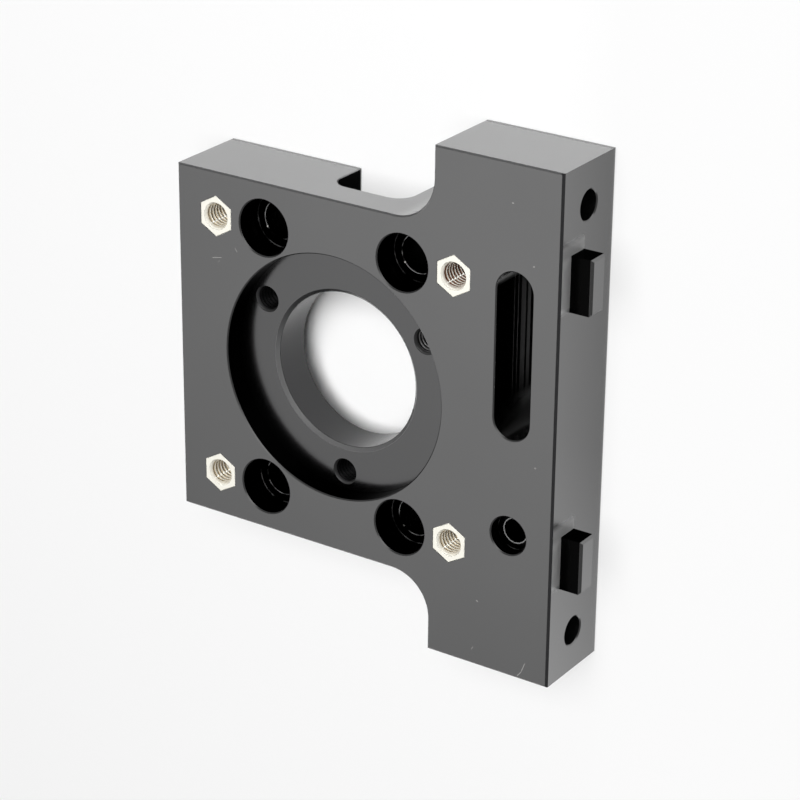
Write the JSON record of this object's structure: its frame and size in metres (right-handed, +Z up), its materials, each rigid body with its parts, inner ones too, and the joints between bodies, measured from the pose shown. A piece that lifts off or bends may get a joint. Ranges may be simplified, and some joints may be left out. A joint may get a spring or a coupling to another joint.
{
  "type": "bearing housing",
  "caption": "Flanged block with a recessed bearing bore, counterbored holes, an upright slot, hexagonal threaded inserts and side keys.",
  "frame": {"origin": "on the axis of the bearing bore, halfway through the block's thickness", "axes": "+X along the front towards the flange, +Y from the front face to the back face along the bore, +Z up along the flange"},
  "size_m": [0.1, 0.02, 0.1134],
  "materials": {
    "anodised_block": "black anodised, satin",
    "insert_brass": "bright machined"
  },
  "bodies": {
    "root": {"housing": "anodised_block", "hex_insert_upper_left": "insert_brass", "hex_insert_upper_right": "insert_brass", "hex_insert_lower_left": "insert_brass", "hex_insert_lower_right": "insert_brass"}
  },
  "joints": []
}
